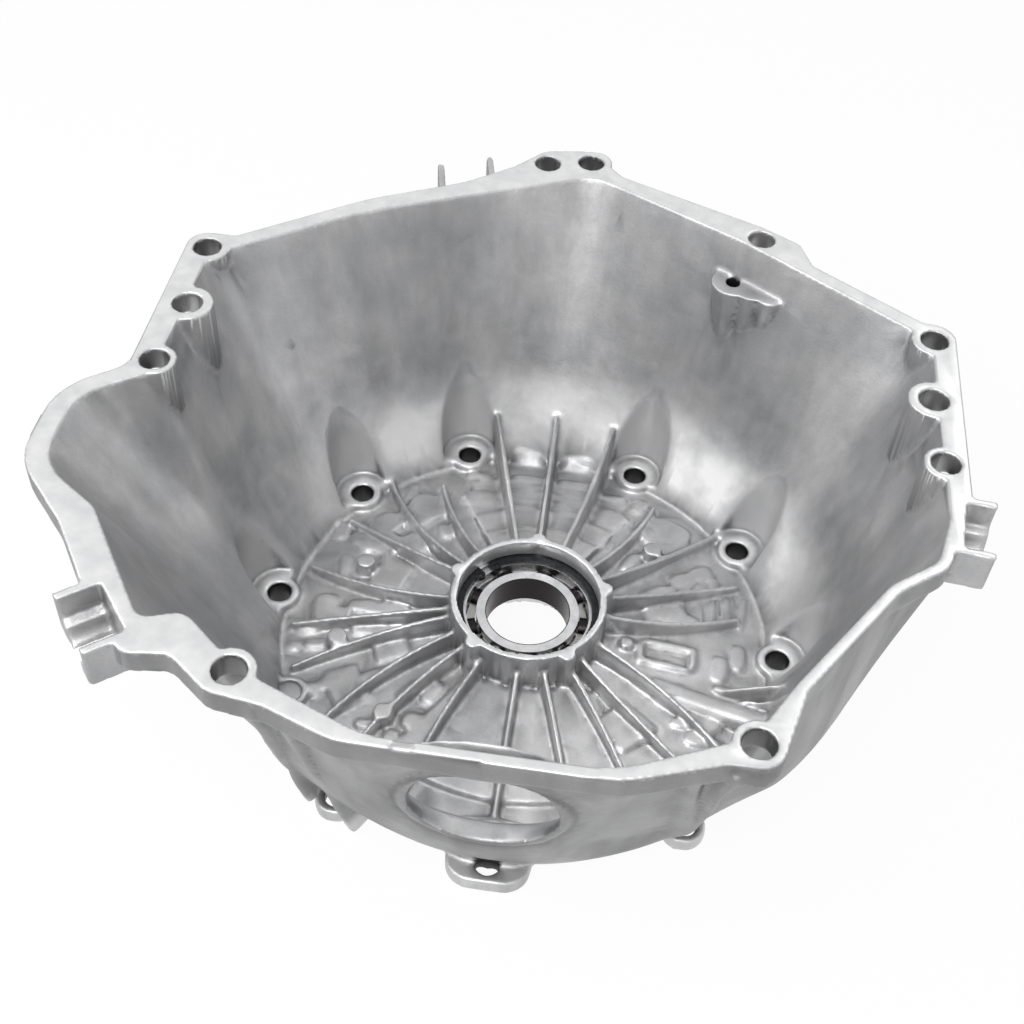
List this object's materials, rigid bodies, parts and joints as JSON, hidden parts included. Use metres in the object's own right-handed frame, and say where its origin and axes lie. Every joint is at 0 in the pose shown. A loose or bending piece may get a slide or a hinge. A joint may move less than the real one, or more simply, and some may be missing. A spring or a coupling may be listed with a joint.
{
  "type": "torque converter housing",
  "caption": "Cast bell housing with a ribbed floor, flanged mouth, starter pocket and near window, and a ball bearing held in the central hub by a retaining ring.",
  "frame": {"origin": "on the shaft axis, in the transmission face that the casting stands on", "axes": "+Z along the shaft axis to the engine face, +Y to the top of the bell's mouth, +X to the side away from the starter pocket"},
  "size_m": [0.3916, 0.3726, 0.1535],
  "materials": {
    "cast_aluminium": "blasted casting",
    "bearing_steel": "ground",
    "cage_steel": "pressed",
    "black_spring_steel": "black phosphate"
  },
  "bodies": {
    "casting": {"housing": "cast_aluminium", "bearing_outer_ring": "bearing_steel", "retaining_ring": "black_spring_steel"},
    "inner_race": {"bearing_inner_ring": "bearing_steel"},
    "ball_set": {"bearing_cage": "cage_steel", "bearing_balls": "bearing_steel"}
  },
  "joints": [
    {"name": "inner_race_turn", "type": "hinge", "parent": "casting", "child": "inner_race", "pos_m": [0, 0, 0.0235], "axis": [0, 0, 1], "continuous": true},
    {"name": "ball_set_turn", "type": "hinge", "parent": "casting", "child": "ball_set", "pos_m": [0, 0, 0.0235], "axis": [0, 0, 1], "continuous": true}
  ],
  "couplings": [
    {"joint": "ball_set_turn", "follows": "inner_race_turn", "ratio": 0.42675}
  ]
}
